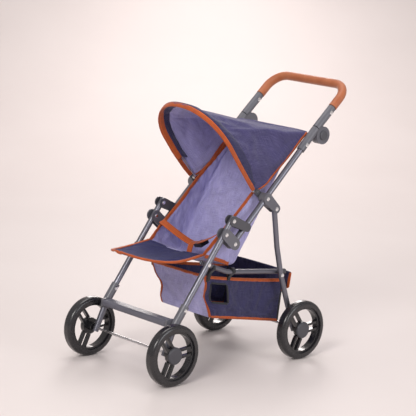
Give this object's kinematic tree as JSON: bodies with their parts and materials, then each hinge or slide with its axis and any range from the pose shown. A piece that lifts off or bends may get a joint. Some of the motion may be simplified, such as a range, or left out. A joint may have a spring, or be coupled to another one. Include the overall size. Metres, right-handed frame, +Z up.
{
  "type": "doll stroller",
  "caption": "Folding toy stroller for a doll: tube frame with spoked wheels, sling seat with lap belt, canopy, calf flap, under-seat basket and a padded push handle.",
  "frame": {"origin": "on the ground, midway between the front and rear axles, on the middle plane", "axes": "+X is the seated doll's left, the stroller faces -Y, +Z is up"},
  "size_m": [0.275, 0.5341, 0.5562],
  "materials": {
    "frame_tube": "silver grey metallic paint",
    "handle_tube": "silver grey metallic paint",
    "bracket_plastic": "satin grey",
    "lock_plastic": "satin dark grey",
    "steel": "plain",
    "rivet_steel": "polished",
    "grip_foam": "smooth orange-brown foam",
    "tyre": "smooth black",
    "rim_plastic": "gloss black",
    "cap_plastic": "satin dark grey",
    "denim_dark": "dark blue denim, orange bound edges",
    "denim_light": "pale lilac-blue denim, orange bound edges",
    "webbing": "orange woven webbing",
    "loop_webbing": "black woven webbing",
    "buckle_plastic": "dark"
  },
  "bodies": {
    "front_frame": {"front_leg_left": "frame_tube", "front_leg_right": "frame_tube", "leg_sleeve_left": "bracket_plastic", "leg_sleeve_right": "bracket_plastic", "elbow_bracket_left": "bracket_plastic", "elbow_bracket_right": "bracket_plastic", "footrest": "bracket_plastic", "front_axle": "steel", "front_rivets": "rivet_steel", "calf_flap": "denim_dark"},
    "lock_left": {"frame_lock_left": "lock_plastic"},
    "lock_right": {"frame_lock_right": "lock_plastic"},
    "push_frame": {"push_tube_left": "frame_tube", "push_tube_right": "frame_tube", "leg_bracket_left": "bracket_plastic", "leg_bracket_right": "bracket_plastic", "canopy_clip_left": "lock_plastic", "canopy_clip_right": "lock_plastic", "hub_lower_left": "bracket_plastic", "hub_lower_right": "bracket_plastic", "seat_wing_left": "denim_light", "seat_wing_right": "denim_light", "push_rivets": "rivet_steel", "seat_back": "denim_light"},
    "handle": {"hub_upper_left": "bracket_plastic", "hub_upper_right": "bracket_plastic", "handle_tube": "handle_tube", "handle_grip": "grip_foam", "handle_rivets": "rivet_steel", "hub_pins": "steel"},
    "button_left": {"hub_button_left": "lock_plastic"},
    "button_right": {"hub_button_right": "lock_plastic"},
    "canopy": {"canopy_hoop": "steel", "canopy_cover": "denim_dark"},
    "seat_bars": {"seat_bar_left": "frame_tube", "seat_bar_right": "frame_tube", "bar_caps": "lock_plastic", "seat_bottom": "denim_light", "basket": "denim_dark", "basket_loops": "loop_webbing", "lap_belt": "webbing", "crotch_strap": "webbing", "belt_buckle": "buckle_plastic"},
    "rear_frame": {"rear_leg_left": "frame_tube", "rear_leg_right": "frame_tube", "rear_axle": "steel", "rear_rivets": "rivet_steel"},
    "wheel_front_left": {"tyre_front_left": "tyre", "rim_front_left": "rim_plastic", "hub_cap_front_left": "cap_plastic"},
    "wheel_front_right": {"tyre_front_right": "tyre", "rim_front_right": "rim_plastic", "hub_cap_front_right": "cap_plastic"},
    "wheel_rear_left": {"tyre_rear_left": "tyre", "rim_rear_left": "rim_plastic", "hub_cap_rear_left": "cap_plastic"},
    "wheel_rear_right": {"tyre_rear_right": "tyre", "rim_rear_right": "rim_plastic", "hub_cap_rear_right": "cap_plastic"}
  },
  "joints": [
    {"name": "fold", "type": "hinge", "parent": "front_frame", "child": "push_frame", "pos_m": [0, -0.008, 0.254], "axis": [-1, 0, 0], "range_deg": [0, 140], "deforming": ["seat_back", "seat_wing_left", "seat_wing_right", "seat_bottom", "lap_belt", "crotch_strap", "basket", "basket_loops"]},
    {"name": "seat_fold", "type": "hinge", "parent": "front_frame", "child": "seat_bars", "pos_m": [0, -0.072, 0.22], "axis": [-1, 0, 0], "range_deg": [0, 96.6]},
    {"name": "rear_fold", "type": "hinge", "parent": "push_frame", "child": "rear_frame", "pos_m": [0, 0.09997, 0.31302], "axis": [1, 0, 0], "range_deg": [0, 92]},
    {"name": "handle_fold", "type": "hinge", "parent": "push_frame", "child": "handle", "pos_m": [0, 0.21897, 0.45205], "axis": [-1, 0, 0], "range_deg": [0, 170]},
    {"name": "canopy_fold", "type": "hinge", "parent": "push_frame", "child": "canopy", "pos_m": [0, 0.05986, 0.34816], "axis": [-1, 0, 0], "range_deg": [0, 75], "deforming": ["canopy_cover"]},
    {"name": "lock_left_turn", "type": "hinge", "parent": "front_frame", "child": "lock_left", "pos_m": [0.105, -0.01395, 0.30019], "axis": [1, 0, 0], "range_deg": [0, 60]},
    {"name": "button_left_press", "type": "slide", "parent": "handle", "child": "button_left", "axis": [-1, 0, 0], "range_m": [0, 0.003], "stiffness_N_per_m": 400, "springref_m": -0.001},
    {"name": "lock_right_turn", "type": "hinge", "parent": "front_frame", "child": "lock_right", "pos_m": [-0.105, -0.01395, 0.30019], "axis": [1, 0, 0], "range_deg": [0, 60]},
    {"name": "button_right_press", "type": "slide", "parent": "handle", "child": "button_right", "axis": [1, 0, 0], "range_m": [0, 0.003], "stiffness_N_per_m": 400, "springref_m": -0.001},
    {"name": "wheel_front_left_spin", "type": "hinge", "parent": "front_frame", "child": "wheel_front_left", "pos_m": [0.1265, -0.171, 0.06], "axis": [1, 0, 0], "continuous": true},
    {"name": "wheel_front_right_spin", "type": "hinge", "parent": "front_frame", "child": "wheel_front_right", "pos_m": [-0.1265, -0.171, 0.06], "axis": [1, 0, 0], "continuous": true},
    {"name": "wheel_rear_left_spin", "type": "hinge", "parent": "rear_frame", "child": "wheel_rear_left", "pos_m": [0.1265, 0.171, 0.06], "axis": [1, 0, 0], "continuous": true},
    {"name": "wheel_rear_right_spin", "type": "hinge", "parent": "rear_frame", "child": "wheel_rear_right", "pos_m": [-0.1265, 0.171, 0.06], "axis": [1, 0, 0], "continuous": true}
  ],
  "couplings": [
    {"joint": "seat_fold", "follows": "fold", "ratio": 0.6864},
    {"joint": "rear_fold", "follows": "fold", "ratio": 0.6536}
  ]
}
